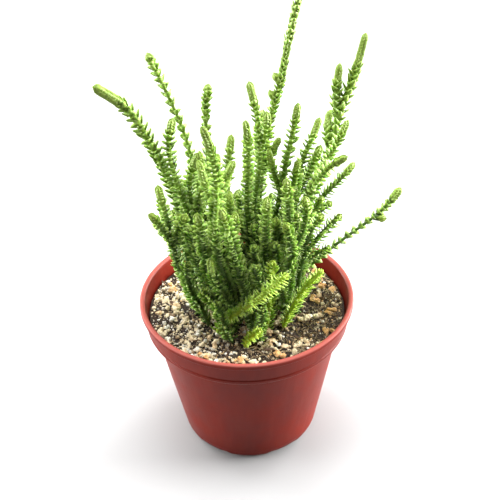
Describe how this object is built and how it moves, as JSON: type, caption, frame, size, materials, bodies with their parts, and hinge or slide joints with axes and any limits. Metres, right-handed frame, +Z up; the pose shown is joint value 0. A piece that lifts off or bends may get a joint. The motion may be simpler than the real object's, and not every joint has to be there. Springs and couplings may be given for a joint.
{
  "type": "potted watch chain plant",
  "caption": "Clump of upright leafy succulent stems, each covered in small four-ranked scale leaves, growing in gritty soil in a tapered plastic nursery pot with a rim band.",
  "frame": {"origin": "middle of the flat disc under the pot's floor, on the surface that the pot stands on", "axes": "+Z up along the pot's axis; -Y is the front, where the low stem crosses to the right"},
  "size_m": [0.1288, 0.105, 0.227],
  "materials": {
    "pot_plastic": "terracotta-coloured moulded plastic with a soft sheen",
    "potting_mix": "dark peat with pale pumice and perlite grains",
    "leaves": "yellow-green waxy succulent leaves, brighter at the tips"
  },
  "bodies": {
    "root": {"pot": "pot_plastic", "soil": "potting_mix", "stem_01": "leaves", "stem_02": "leaves", "stem_03": "leaves", "stem_04": "leaves", "stem_05": "leaves", "stem_06": "leaves", "stem_07": "leaves", "stem_08": "leaves", "stem_09": "leaves", "stem_10": "leaves", "stem_11": "leaves", "stem_12": "leaves", "stem_13": "leaves", "stem_14": "leaves", "stem_15": "leaves", "stem_16": "leaves", "stem_17": "leaves", "stem_18": "leaves", "stem_19": "leaves", "stem_20": "leaves", "stem_21": "leaves", "stem_22": "leaves", "stem_23": "leaves", "stem_24": "leaves", "stem_25": "leaves", "stem_26": "leaves", "stem_27": "leaves", "stem_28": "leaves", "stem_29": "leaves", "stem_30": "leaves", "stem_31": "leaves", "stem_32": "leaves", "stem_33": "leaves", "stem_34": "leaves", "stem_35": "leaves", "stem_36": "leaves", "stem_37": "leaves", "stem_38": "leaves", "stem_39": "leaves", "stem_40": "leaves", "stem_41": "leaves", "stem_42": "leaves", "stem_43": "leaves", "stem_44": "leaves"}
  },
  "joints": []
}
